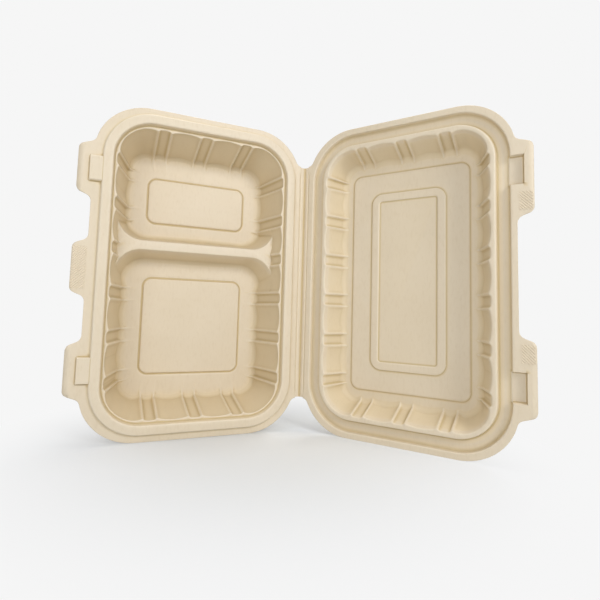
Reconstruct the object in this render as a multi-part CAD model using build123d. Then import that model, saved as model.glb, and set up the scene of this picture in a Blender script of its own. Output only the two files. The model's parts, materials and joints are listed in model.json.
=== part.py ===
from build123d import *
import os
from math import atan, cos, pi, sin, sqrt, tan

# Hinged meal tray pressed from one sheet of bamboo fibre: a base with two compartments and a
# shallow lid, joined along one long edge by a creased web. It stands open like a book.
# Lengths are millimetres and angles degrees. Each half is drawn lying open side up, with x
# running from the hinge to the front edge and y along the hinge, and is stood up at the end.

# Sheet and plan, shared by both halves
sheet = 0.8
rim_width = 149.0
rim_length = 235.0
rim_radius = 35.5
hinge_to_rim = 9.5
lip_width = 5.0
lip_radius = 38.0
open_angle = 125.0

# Room left between the halves when the lid is shut
fit_gap = 0.55
seat_gap = 0.3

# Raised bead round the base, which the lid's channel drops over
bead_height = 3.6
bead_flat = 6.75
bead_lean = 0.6
bead_inner_lean = 0.85
bead_round = 1.0

# Base well
base_depth = 37.0
base_ledge_drop = 0.65
base_ledge_width = 1.1
base_wall_run = 8.2
base_front_lip = 6.0

# Lid well
lid_depth = 20.0
lid_rim_width = 2.75
lid_wall_run = 8.0
lid_front_lip = 4.5

# Twin-ridge ribs pressed into every wall
rib_pitch = 32.4
rib_width = 10.0
rib_end_room = 31.0
scallop_top = 1.2
scallop_foot = 2.0
scallop_end_share = 0.35
foot_round = 6.0
foot_steps = 3

# Hollow divider between the compartments
divider_place = 21.1
divider_width = 6.9
divider_drop = 15.0
divider_corner = 12.0
divider_spare = 0.5

# Raised floor panels
panel_rise = 1.0
panel_lean = 0.8
panel_radius = 6.0
panel_side_inset = 35.2
panel_end_inset = 38.8
small_panel_gap = 22.2
large_panel_gap = 24.7
lid_panel_side_inset = 29.0
lid_panel_end_inset = 30.6
ring_inset = 16.7
ring_width = 5.2
ring_rise = 0.8
ring_radius = 8.0

# Front tabs, lock blocks and the lid's pockets for them
tab_reach = 9.7
tab_root = 41.0
tab_tip = 33.0
lid_tab_reach = 10.0
lid_tab_root = 53.4
lid_tab_tip = 46.0
lid_tab_end_inset = 52.2
tab_round = 4.5
tab_root_round = 5.0
lock_end_inset = 46.5
block_length = 18.0
block_reach = 8.0
block_height = 3.2
block_lean = 0.5

# Hinge web
web_inset = 26.0
notch_round = 5.0
notch_share = 0.8
crease_place = 3.6
crease_depth = 0.35

# Cutting allowances
overrun = 4.0
skim = 0.05

# Heights and places that follow from the sizes above
half_width = rim_width / 2
half_length = rim_length / 2
centre = hinge_to_rim + half_width
lip_top = -seat_gap / 2
bead_top = lip_top + bead_height
base_ledge = lip_top - base_ledge_drop
base_floor = lip_top - base_depth
divider_top = lip_top - divider_drop
channel_floor = lip_top - bead_height - seat_gap - fit_gap / 2
lid_floor = lip_top - lid_depth
bead_in = bead_lean + bead_flat
bead_foot = bead_in + bead_inner_lean
base_wall_inset = bead_foot + base_ledge_width
lid_wall_inset = bead_foot + fit_gap + lid_rim_width
stand_height = half_length + lip_width
long_ribs = int((rim_length - 2 * rib_end_room - rib_width) / rib_pitch) + 1
short_ribs = int((rim_width - 2 * rib_end_room - rib_width) / rib_pitch) + 1
lock_place = half_length - lock_end_inset
lid_tab_place = half_length - lid_tab_end_inset
web_length = 2 * (stand_height - web_inset)
corner_run = max(lip_radius - web_inset, 0)
notch_room = hinge_to_rim - lip_width - seat_gap / 2 + lip_radius - sqrt(lip_radius**2 - corner_run**2)
notch_radius = min(notch_round, notch_room * notch_share)


def rounded_plate(inset, z, radius=None):
    """Rounded rectangle parallel to the rim, inset from the bead's outer foot."""
    corner = rim_radius - inset if radius is None else radius
    return Pos(0, 0, z) * RectangleRounded(rim_width - 2 * inset, rim_length - 2 * inset, corner)


def leaning_block(low, high, before, after):
    """Loft between two (inset, height) outlines, carried on past both ends."""
    slope = (high[0] - low[0]) / (high[1] - low[1])
    first = rounded_plate(low[0] - slope * before, low[1] - before)
    last = rounded_plate(high[0] + slope * after, high[1] + after)
    return loft([first, last], ruled=True)


def rib_edges(count):
    """Places of the ridges along one wall, two for each rib."""
    places = []
    for index in range(count):
        middle = (index - (count - 1) / 2) * rib_pitch
        places.append(middle - rib_width / 2)
        places.append(middle + rib_width / 2)
    return places


def scalloped_plate(bulge, ridge, z):
    """Well outline: shallow outward arcs meeting in ridges, with plain arcs at the corners."""
    along = rib_edges(long_ribs)
    across = rib_edges(short_ribs)
    wide = half_width - ridge
    long = half_length - ridge
    right = [(wide, y) for y in along]
    top = [(x, long) for x in reversed(across)]
    left = [(-wide, y) for y in reversed(along)]
    bottom = [(x, -long) for x in across]
    lift = ridge - bulge
    turn = (rim_radius - bulge) * sqrt(0.5) - rim_radius
    edges = []
    sides = [(right, (lift, 0)), (top, (0, lift)), (left, (-lift, 0)), (bottom, (0, -lift))]
    corners = [(1, 1), (-1, 1), (-1, -1), (1, -1)]
    for number, (points, shift) in enumerate(sides):
        for start, end in zip(points, points[1:]):
            middle = ((start[0] + end[0]) / 2 + shift[0], (start[1] + end[1]) / 2 + shift[1])
            edges.append(ThreePointArc(start, middle, end))
        sign = corners[number]
        middle = (sign[0] * (half_width + turn), sign[1] * (half_length + turn))
        following = sides[(number + 1) % len(sides)][0]
        edges.append(ThreePointArc(points[-1], middle, following[0]))
    return Pos(0, 0, z) * make_face(edges)


def wall_steps(start, run, top, floor, skin):
    """(inset, height, share of the way to the floor's flat) down a wall and round its foot."""
    slope = run / (top - floor)
    side = skin * sqrt(1 + slope * slope)
    bend = pi / 2 - atan(slope)
    radius = foot_round + skin
    tangent = radius * tan(bend / 2)
    corner = start + run + slope * skin - side
    base_z = floor - skin
    steps = [(start - slope * overrun - side, top + overrun, 0)]
    for step in range(foot_steps + 1):
        share = step / foot_steps
        angle = bend * (1 - share)
        inset = corner + tangent - radius * sin(angle)
        steps.append((inset, base_z + radius * (1 - cos(angle)), share))
    return steps


def well(start, run, top, floor, skin):
    """Scalloped well from above the ledge down to the floor, grown by skin for the back face."""
    plates = []
    for inset, z, share in wall_steps(start, run, top, floor, skin):
        depth_share = (top - z) / (top - floor)
        scallop = scallop_top + (scallop_foot - scallop_top) * depth_share
        scallop = scallop * (1 - share * (1 - scallop_end_share))
        plates.append(scalloped_plate(inset, inset + scallop, z))
    return loft(plates, ruled=True)


def compartment(sign, skin):
    """Block that one compartment leaves clear, from above the divider to below the floor."""
    slope = base_wall_run / (base_ledge - base_floor)
    divider_run = slope * (divider_top - base_floor)
    walls = wall_steps(base_wall_inset, base_wall_run, base_ledge, base_floor - skim, skin)
    fronts = wall_steps(0, divider_run, divider_top, base_floor - skim, skin)
    far = half_length + overrun
    plates = []
    for wall, front in zip(walls[1:], fronts[1:]):
        near = sign * divider_place + divider_width / 2 + front[0]
        wide = rim_width - 2 * (wall[0] - divider_spare)
        outline = RectangleRounded(wide, far - near, divider_corner)
        plates.append(Pos(0, sign * (far + near) / 2, wall[1]) * outline)
    slope_up = (walls[1][0] - walls[0][0]) / (walls[0][1] - walls[1][1])
    rise = divider_top + overrun - walls[1][1]
    near = sign * divider_place + divider_width / 2 + fronts[1][0] - slope_up * rise
    wide = rim_width - 2 * (walls[1][0] - slope_up * rise - divider_spare)
    outline = RectangleRounded(wide, far - near, divider_corner)
    plates.insert(0, Pos(0, sign * (far + near) / 2, divider_top + overrun) * outline)
    block = loft(plates, ruled=True)
    return block + extrude(plates[-1], -overrun)


def raised_panel(low, high, side_inset, rise, radius, floor, skin, lean=panel_lean):
    """Panel pressed up from a floor, between two places along the hinge."""
    wide = rim_width - 2 * side_inset - 2 * skin
    long = high - low - 2 * skin
    spread = lean * (rise + overrun) / rise
    middle = (low + high) / 2
    foot = RectangleRounded(wide + 2 * spread, long + 2 * spread, radius + spread)
    crown = RectangleRounded(wide, long, radius)
    foot = Pos(0, middle, floor - overrun - skin) * foot
    return loft([foot, Pos(0, middle, floor + rise - skin) * crown], ruled=True)


def base_cavity(skin):
    """Space inside the base: the well less the divider and the floor panels."""
    cavity = well(base_wall_inset, base_wall_run, base_ledge, base_floor, skin)
    slab_bottom = base_floor - 2 * overrun
    slab_height = divider_top - skin - slab_bottom
    slab = Pos(0, 0, slab_bottom + slab_height / 2) * Box(rim_width, rim_length, slab_height)
    slab -= compartment(1, skin)
    slab -= compartment(-1, skin)
    cavity -= slab
    end = half_length - panel_end_inset
    small = (divider_place + small_panel_gap, end)
    large = (-end, divider_place - large_panel_gap)
    for low, high in (small, large):
        cavity -= raised_panel(low, high, panel_side_inset, panel_rise, panel_radius, base_floor, skin)
    return cavity


def lid_cavity(skin):
    """Space inside the lid: the well less a raised panel and the ring rib on it."""
    cavity = well(lid_wall_inset, lid_wall_run, lip_top, lid_floor, skin)
    end = half_length - lid_panel_end_inset
    side = lid_panel_side_inset
    cavity -= raised_panel(-end, end, side, panel_rise, panel_radius, lid_floor, skin)
    top = lid_floor + panel_rise
    outer = (end - ring_inset, side + ring_inset)
    inner = (outer[0] - ring_width, outer[1] + ring_width)
    ring = raised_panel(-outer[0], outer[0], outer[1], ring_rise, ring_radius, top, skin)
    corner = ring_radius - ring_width / 2
    hole = raised_panel(-inner[0], inner[0], inner[1], ring_rise, corner, top, -skin, -panel_lean)
    ring -= Pos(0, 0, -2 * skin) * hole
    return cavity - ring


def tab_outline(edge, place, reach, root, tip):
    """Front tab: a tapering tongue whose root lies under the lip."""
    spread = (root - tip) / 2 * lip_width / reach
    back = edge - lip_width
    points = [
        (back, place - root / 2 - spread),
        (edge + reach, place - tip / 2),
        (edge + reach, place + tip / 2),
        (back, place + root / 2 + spread),
    ]
    return make_face(Polyline(points, close=True))


def lip_plate(front_lip, tabs):
    """Flat trim outline of one half: rounded lip, half of the hinge web and the front tabs."""
    back = -half_width - lip_width
    front = half_width + front_lip
    lip = RectangleRounded(front - back, rim_length + 2 * lip_width, lip_radius)
    outline = Pos((front + back) / 2, 0) * lip
    axis_side = seat_gap / 2 - centre
    web = Rectangle(-half_width - axis_side, web_length)
    outline += Pos((axis_side - half_width) / 2, 0) * web
    for place, reach, root, tip in tabs:
        outline += tab_outline(front, place, reach, root, tip)
    corners = outline.vertices()
    notches = [v for v in corners if v.X < -half_width and abs(v.Y) > web_length / 2 - skim]
    notches = [v for v in notches if v.X > axis_side + skim and abs(v.Y) < web_length / 2 + skim]
    outline = fillet(notches, notch_radius)
    corners = outline.vertices()
    tips = [v for v in corners if v.X > front + lip_width]
    outline = fillet(tips, tab_round)
    corners = outline.vertices()
    roots = [v for v in corners if half_width < v.X < front + skim and abs(v.Y) < half_length - lip_width]
    return fillet(roots, tab_root_round)


def block_loft(place, grow, floor, top, lean, lift):
    """Lock block, or the pocket for one, against the front of the bead."""
    inner = half_width - bead_flat / 2
    outer = half_width + block_reach + grow
    long = block_length + 2 * grow
    middle = (inner + outer) / 2
    low = Rectangle(outer - inner + 2 * lean, long + 2 * lean)
    high = Rectangle(outer - inner, long)
    low = Pos(middle, place, floor) * low
    return loft([low, Pos(middle, place, top + lift) * high], ruled=True)


def edges_at(shape, height):
    """Edges lying wholly in one level plane."""
    return [e for e in shape.edges() if all(abs(v.Z - height) < skim for v in e.vertices())]


def under(outline, depth, skin):
    """Solid ground below the lip, wide enough to trim the lip's edge on the back face."""
    bottom = lip_top - depth - 3 * overrun - skin
    if skin > 0:
        outline = Rectangle(2 * rim_width, 2 * rim_length)
    return extrude(Pos(0, 0, bottom) * outline, lip_top - skin - bottom)


def base_ground(outline, skin):
    """Everything below the base's face, or below its back face when skin is the sheet."""
    ground = under(outline, base_depth, skin)
    ground += leaning_block((skin, lip_top - skin), (bead_lean + skin, bead_top - skin), overrun / 2, 0)
    for place in (-lock_place, lock_place):
        top = lip_top + block_height - skin
        ground += block_loft(place, -skin, lip_top - overrun, top, block_lean, 0)
    ground -= leaning_block(
        (bead_foot - skin, base_ledge - skin), (bead_in - skin, bead_top - skin), 0, overrun)
    if skin == 0:
        ground = fillet(edges_at(ground, bead_top), bead_round)
    return ground - base_cavity(skin)


def lid_ground(outline, skin):
    """Everything below the lid's face, or below its back face when skin is the sheet."""
    ground = under(outline, lid_depth, skin)
    ground -= leaning_block(
        (bead_lean - fit_gap - skin, channel_floor - skin), (-fit_gap - skin, lip_top - skin), 0, overrun)
    for place in (-lock_place, lock_place):
        floor = lip_top - block_height - seat_gap - skin
        pocket = block_loft(place, fit_gap + skin, lip_top + overrun, floor, block_lean, 0)
        ground -= pocket
    rim = bead_foot + fit_gap + skin
    ground += leaning_block(
        (bead_in + fit_gap + skin, channel_floor - skin), (rim, lip_top - skin), overrun / 2, 0)
    return ground - lid_cavity(skin)


def creased(half):
    """One half with a fold line pressed beside the hinge."""
    groove = Box(crease_depth * sqrt(2), rim_length, crease_depth * sqrt(2))
    return half - Pos(crease_place - centre, 0, lip_top) * Rot(0, 45, 0) * groove


base_tabs = [
    (-lock_place, tab_reach, tab_root, tab_tip),
    (0, tab_reach, tab_root, tab_tip),
    (lock_place, tab_reach, tab_root, tab_tip),
]
lid_tabs = [
    (-lid_tab_place, lid_tab_reach, lid_tab_root, lid_tab_tip),
    (lid_tab_place, lid_tab_reach, lid_tab_root, lid_tab_tip),
]

base_outline = lip_plate(base_front_lip, base_tabs)
lid_outline = lip_plate(lid_front_lip, lid_tabs)
base_tray = creased(base_ground(base_outline, 0) - base_ground(base_outline, sheet))
lid = creased(lid_ground(lid_outline, 0) - lid_ground(lid_outline, sheet))

# Hinge line on the y axis, base to its left and lid to its right, then both stood on end with the
# origin on the floor under the middle of the pair
upright = Pos(0, 0, stand_height) * Rot(90, 0, 0)
base_tray = mirror(Pos(centre, 0, 0) * base_tray, about=Plane.YZ)
base_tray = upright * base_tray
lid = upright * Rot(0, open_angle - 180, 0) * Pos(centre, 0, 0) * lid
box = base_tray.bounding_box().add(lid.bounding_box())
home = Pos(-(box.min.X + box.max.X) / 2, -(box.min.Y + box.max.Y) / 2, 0)
base_tray = home * base_tray
lid = home * lid

os.makedirs("parts", exist_ok=True)
export_step(base_tray, "parts/base_tray.step")
export_step(lid, "parts/lid.step")
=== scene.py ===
import bpy
import bmesh
import json
from bisect import bisect_right
from math import acos, asin, atan, atan2, cos, exp, hypot, pi, radians, sin, sqrt, tan
from types import SimpleNamespace
from mathutils import Matrix, Vector


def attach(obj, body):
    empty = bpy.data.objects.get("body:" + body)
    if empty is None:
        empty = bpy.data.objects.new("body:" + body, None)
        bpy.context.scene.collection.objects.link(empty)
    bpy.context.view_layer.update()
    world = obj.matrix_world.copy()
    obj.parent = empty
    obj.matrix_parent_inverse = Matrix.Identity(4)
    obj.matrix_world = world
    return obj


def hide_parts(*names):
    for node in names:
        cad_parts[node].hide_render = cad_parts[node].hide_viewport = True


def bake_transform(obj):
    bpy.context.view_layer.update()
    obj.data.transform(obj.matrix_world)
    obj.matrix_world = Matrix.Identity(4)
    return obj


bl_info = {
    "name": "Hinged fibre meal tray",
    "version": (1, 0, 0),
    "blender": (4, 5, 0),
    "location": "View3D > Sidebar > Meal tray",
    "description": "Pressed fibre tray with two compartments and a hinged lid, standing open",
    "category": "Object",
}

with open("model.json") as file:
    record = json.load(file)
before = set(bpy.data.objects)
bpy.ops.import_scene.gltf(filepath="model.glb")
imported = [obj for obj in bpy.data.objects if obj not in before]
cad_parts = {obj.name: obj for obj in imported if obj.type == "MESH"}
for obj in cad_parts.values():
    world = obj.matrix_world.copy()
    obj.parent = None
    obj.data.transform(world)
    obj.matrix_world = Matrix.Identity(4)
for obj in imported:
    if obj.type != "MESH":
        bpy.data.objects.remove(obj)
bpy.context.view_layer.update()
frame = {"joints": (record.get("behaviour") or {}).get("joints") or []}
HINGE = frame["joints"][0]
HINGE_AT = Vector(HINGE["pos_m"])
FOLD = radians(-HINGE["range_deg"][0])
MM = 0.001
TINY = 1e-6


class TraySizes(bpy.types.PropertyGroup):
    """Sizes of the pressed sheet"""
    sheet: bpy.props.FloatProperty(
        name="Sheet", description="Thickness of the pressed sheet",
        default=0.8 * MM, min=0.3 * MM, max=2.0 * MM, unit="LENGTH")
    base_depth: bpy.props.FloatProperty(
        name="Base depth", description="Lip to floor in the base",
        default=37.0 * MM, min=10.0 * MM, max=60.0 * MM, unit="LENGTH")
    lid_depth: bpy.props.FloatProperty(
        name="Lid depth", description="Lip to floor in the lid",
        default=20.0 * MM, min=8.0 * MM, max=40.0 * MM, unit="LENGTH")
    ridge_top: bpy.props.FloatProperty(
        name="Ridge at the rim", description="How far the wall ridges stand in at the rim",
        default=1.7 * MM, unit="LENGTH")
    ridge_foot: bpy.props.FloatProperty(
        name="Ridge at the foot", description="How far the wall ridges stand in near the floor",
        default=2.6 * MM, unit="LENGTH")
    knurl_pitch: bpy.props.FloatProperty(
        name="Knurl pitch", description="Spacing of the diagonal ridges on the thumb patches",
        default=1.35 * MM, unit="LENGTH")


class TrayColours(bpy.types.PropertyGroup):
    """Colours of the fibre, its painted shade and highlight, and the stage, as sRGB hex"""
    fibre: bpy.props.StringProperty(
        name="Fibre", description="Main colour of the pressed fibre", default="E0D2BA")
    fibre_dark: bpy.props.StringProperty(
        name="Fibre flecks", description="Colour of the darker fibres", default="CDBA99")
    # Painted shade: a warmer, deeper colour laid on steep walls for the shade and warm bounce light there
    painted_wall_shade: bpy.props.StringProperty(
        name="Walls", description="Colour of the warmer fibre on drawn walls", default="E2CDA0")
    # Painted shade: a browner colour laid in hollows and creases, where shade falls
    painted_crease_shade: bpy.props.StringProperty(
        name="Creases", description="Colour of the denser fibre in pressed hollows", default="B0965C")
    # Painted highlight: a paler colour laid along proud edges, where light catches them
    painted_crest_highlight: bpy.props.StringProperty(
        name="Crests", description="Colour of the paler fibre along proud edges", default="F0E6D4")
    floor: bpy.props.StringProperty(
        name="Floor", description="Pale studio floor and backdrop", default="F6F6F6")
    paper: bpy.props.StringProperty(
        name="Paper", description="Colour of the floor's paper where the shadow falls", default="E2E5E8")


def drawn_sizes(scene):
    """The sizes in millimetres, in which all that follows is drawn."""
    names = TraySizes.__annotations__
    return SimpleNamespace(**{name: getattr(scene.tray_sizes, name) / MM for name in names})


# Plan of the rim, shared by both halves, drawn with the open side up
# x runs from the hinge side to the front, y along the hinge, and s is the distance round the rim
HALF_WIDTH = 74.5
HALF_LENGTH = 117.5
RIM_RADIUS = 35.5
CENTRE = 84.0
LIP_TOP = -0.15
REFERENCE_INSET = 12.0
TURN_RADIUS = RIM_RADIUS - REFERENCE_INSET
QUARTER = TURN_RADIUS * pi / 2
STRAIGHT_LONG = HALF_LENGTH - RIM_RADIUS
STRAIGHT_SHORT = HALF_WIDTH - RIM_RADIUS
SIDE_LENGTHS = [2 * STRAIGHT_LONG, 2 * STRAIGHT_SHORT, 2 * STRAIGHT_LONG, 2 * STRAIGHT_SHORT]
SIDE_STARTS = [sum(SIDE_LENGTHS[:side]) + side * QUARTER for side in range(4)]
CORNER_SIGNS = [(1, 1), (-1, 1), (-1, -1), (1, -1)]
PERIMETER = sum(SIDE_LENGTHS) + 4 * QUARTER
FRONT_MIDDLE = STRAIGHT_LONG
BACK_MIDDLE = SIDE_STARTS[2] + STRAIGHT_LONG


def ease(share):
    """Smooth step from 0 to 1, flat outside that."""
    share = min(max(share, 0.0), 1.0)
    return share * share * (3 - 2 * share)


def between(value, low, high, soft):
    """1 between two places and 0 outside, with soft edges."""
    return ease((value - low) / soft + 0.5) * ease((high - value) / soft + 0.5)


def rim_place(s):
    """Point on the rim's outer foot and the outward normal there."""
    s = s % PERIMETER
    side = bisect_right(SIDE_STARTS, s) - 1
    along = s - SIDE_STARTS[side]
    start = side * pi / 2
    if along <= SIDE_LENGTHS[side]:
        run = along - SIDE_LENGTHS[side] / 2
        out = HALF_WIDTH if side % 2 == 0 else HALF_LENGTH
        normal = (cos(start), sin(start))
        return (out * normal[0] - run * normal[1], out * normal[1] + run * normal[0]), normal
    angle = start + (along - SIDE_LENGTHS[side]) / TURN_RADIUS
    normal = (cos(angle), sin(angle))
    signs = CORNER_SIGNS[side]
    middle = (signs[0] * STRAIGHT_SHORT, signs[1] * STRAIGHT_LONG)
    return (middle[0] + RIM_RADIUS * normal[0], middle[1] + RIM_RADIUS * normal[1]), normal


def outside_rim(x, y):
    """Distance out from the rim's outer foot, below 0 inside it."""
    across = abs(x) - STRAIGHT_SHORT
    along = abs(y) - STRAIGHT_LONG
    return hypot(max(across, 0.0), max(along, 0.0)) + min(max(across, along), 0.0) - RIM_RADIUS


# Ribs of the walls: each has two ridges with a narrow valley between, and a shallow arc runs from rib to rib
LONG_RIBS = 6
SHORT_RIBS = 3
RIB_PITCH = 32.4
RIB_WIDTH = 10.0
RIB_GAP = 1.2 * RIB_WIDTH
RIB_SIDE = 1.9
RIB_DIP = 0.6
RIB_MIDDLE = 0.9
RIDGE_ROUND = 0.35
CREST_SHARE = 0.2
CREST_WIDTH = 1.3


def ridge_places():
    """Places round the rim of every ridge, two for each rib, in order."""
    found = []
    for side in range(4):
        middle = SIDE_STARTS[side] + SIDE_LENGTHS[side] / 2
        count = LONG_RIBS if side % 2 == 0 else SHORT_RIBS
        for index in range(count):
            rib = middle + (index - (count - 1) / 2) * RIB_PITCH
            found += [(rib - RIB_WIDTH / 2) % PERIMETER, (rib + RIB_WIDTH / 2) % PERIMETER]
    return sorted(found)


RIDGES = ridge_places()


def nearest_ridge(s):
    """Distance to the nearest ridge, and the gap between the ridges on either side."""
    s = s % PERIMETER
    after = bisect_right(RIDGES, s)
    low = RIDGES[after - 1] - (PERIMETER if after == 0 else 0)
    high = RIDGES[after % len(RIDGES)] + (PERIMETER if after == len(RIDGES) else 0)
    return min(s - low, high - s), high - low


def ridge_share(s):
    """1 on a ridge, 0 midway between two ribs: a shallow arc with a narrow pressed crest."""
    near, gap = nearest_ridge(s)
    span = min(gap, RIB_PITCH - RIB_WIDTH)

    def fall(distance):
        distance = min(sqrt(distance**2 + RIDGE_ROUND**2), span / 2)
        return 1 - (1 - 2 * distance / span)**2

    arc = 1 - (fall(near) - fall(0)) / (fall(span / 2) - fall(0))
    if gap < RIB_GAP:
        return 1 - RIB_DIP * ease(near / RIB_SIDE) - (RIB_MIDDLE - RIB_DIP) * (1 - arc)
    return (1 - CREST_SHARE) * arc + CREST_SHARE * exp(-(near / CREST_WIDTH)**2)


def ridge_at(sizes, deep):
    """How far a ridge stands in at a share of the way down the wall."""
    return sizes.ridge_top + (sizes.ridge_foot - sizes.ridge_top) * deep


# Lock blocks on the base's outer tabs, and the pockets over them in the lid
LOCK_PLACE = 71.0
LOCK_HALF = 9.0
LOCK_OUT = HALF_WIDTH + 8.0
LOCK_OVER = 3.0
LOCK_SOFT = 0.7
LOCK_EDGE = [8.3, 8.8, 9.15, 9.5, 10.2]
LOCK_HEIGHT = 3.2
POCKET_DEPTH = 3.5
POCKET_GROW = 0.55

# Spacing of the vertices round the rim: close at the ridges and at the sides of the locks
NEAR_RIDGE = [0.3, 0.6, 0.95, 1.4, 2.1, 3.4]
PAST_RIDGE = 2.0
SAMPLE_GAP = 0.12


def rim_samples():
    """Distances round the rim at which every ring of the sheet has a vertex."""
    found = []
    for number, low in enumerate(RIDGES):
        high = RIDGES[(number + 1) % len(RIDGES)]
        high += PERIMETER if high < low else 0
        found.append(low)
        for distance in NEAR_RIDGE:
            found += [low + distance, high - distance]
        rest = high - low - 2 * NEAR_RIDGE[-1]
        count = max(2, round(rest / PAST_RIDGE))
        for step in range(1, count):
            found.append(low + NEAR_RIDGE[-1] + rest * step / count)
    for middle in (FRONT_MIDDLE - LOCK_PLACE, FRONT_MIDDLE + LOCK_PLACE):
        for offset in LOCK_EDGE:
            found += [middle - offset, middle + offset]
    kept = []
    for s in sorted(s % PERIMETER for s in found):
        if not kept or s - kept[-1] > SAMPLE_GAP:
            kept.append(s)
    return kept


SAMPLES = rim_samples()
ALL_TURNS = sorted(s + turn * PERIMETER for s in SAMPLES for turn in (-1, 0, 1, 2))


def wall_point(s, inset, ridge, height):
    """Point on a wall at a place round the rim, with its ridge standing in."""
    point, normal = rim_place(s)
    inset = inset + ridge * ridge_share(s)
    return Vector((point[0] - inset * normal[0], point[1] - inset * normal[1], height))


def arc_points(centre, radius, start, end, steps):
    """Points on an arc, both ends included."""
    points = []
    for step in range(steps + 1):
        angle = start + (end - start) * step / steps
        points.append((centre[0] + radius * cos(angle), centre[1] + radius * sin(angle)))
    return points


def round_corner(before, corner, after, radius, steps=10):
    """Arc that rounds one corner of an outline."""
    corner = Vector(corner)
    one = (Vector(before) - corner).normalized()
    two = (Vector(after) - corner).normalized()
    half = acos(max(-1.0, min(1.0, one.dot(two)))) / 2
    middle = corner + (one + two).normalized() * (radius / sin(half))
    first = corner + one * (radius / tan(half))
    last = corner + two * (radius / tan(half))
    start = atan2(first.y - middle.y, first.x - middle.x)
    turn = atan2(last.y - middle.y, last.x - middle.x) - start
    turn = (turn + pi) % (2 * pi) - pi
    return arc_points(middle, radius, start, start + turn, steps)


class Outline:
    """Trim outline with marks that tie it to places round the rim."""

    def __init__(self):
        self.points = []
        self.lengths = []
        self.marks = []

    def add(self, *points):
        """Goes on to the points given, leaving out one that repeats the last."""
        for x, y in points:
            length = 0.0
            if self.points:
                step = hypot(x - self.points[-1][0], y - self.points[-1][1])
                if step < TINY:
                    continue
                length = self.lengths[-1] + step
            self.lengths.append(length)
            self.points.append((x, y))

    def mark(self, s):
        """Ties the last point to a place round the rim."""
        self.marks.append((s, self.lengths[-1]))

    def at(self, length):
        """Point at a distance along the outline."""
        index = min(max(bisect_right(self.lengths, length) - 1, 0), len(self.points) - 2)
        low, high = self.lengths[index], self.lengths[index + 1]
        share = min(max((length - low) / (high - low), 0.0), 1.0)
        a, b = self.points[index], self.points[index + 1]
        return (a[0] + (b[0] - a[0]) * share, a[1] + (b[1] - a[1]) * share)

    def place(self, s):
        """Point tied to a place round the rim, whichever turn that is counted in."""
        first = self.marks[0][0]
        s = first + (s - first) % PERIMETER
        for (s0, l0), (s1, l1) in zip(self.marks, self.marks[1:]):
            if s0 <= s <= s1:
                return self.at(l0 + (l1 - l0) * (s - s0) / max(s1 - s0, TINY))
        return self.at(self.marks[-1][1])


def mirrored(half):
    """Whole outline from the half above the middle, which runs from the front to the hinge."""
    whole = Outline()
    whole.add(*half.points, *((x, -y) for x, y in reversed(half.points[:-1])))
    whole.marks = list(half.marks)
    middle_s, total = half.marks[-1]
    for s, length in reversed(half.marks[:-1]):
        whole.marks.append((2 * middle_s - s, 2 * total - length))
    return whole


def corner_s(side, angle):
    """Place round the rim of a point on the corner after a side, by its turn from that side."""
    return SIDE_STARTS[side] + SIDE_LENGTHS[side] + angle * TURN_RADIUS


# Trimmed edge of each half: lip, tabs, and the notch at each end of the hinge
LIP = 5.0
LIP_RADIUS = 38.0
LIP_STEPS = 18
BASE_TRIM = {"front_lip": 6.0, "tabs": (0.0, LOCK_PLACE), "reach": 9.7, "root": 41.0, "tip": 33.0}
LID_TRIM = {"front_lip": 4.5, "tabs": (65.3,), "reach": 10.0, "root": 53.4, "tip": 46.0}
TAB_RUN = 6.5
TAB_ROUND = 4.5
TAB_ROOT_ROUND = 5.0
TAB_PAST = radians(22)
CREASE = 3.6
NOTCH = 5.0
NOTCH_TURN = radians(24.4)
NOTCH_FOOT = 86.0
NOTCH_STEPS = 8


def notch_points(joint):
    """Curve from the lip down to the hinge web's end, stopping at the crease."""
    middle = (joint[0] - NOTCH * cos(NOTCH_TURN), joint[1] + NOTCH * sin(NOTCH_TURN))
    low = asin((CREASE - CENTRE - middle[0]) / NOTCH) - pi / 2
    return arc_points(middle, NOTCH, -NOTCH_TURN, low, NOTCH_STEPS)


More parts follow.
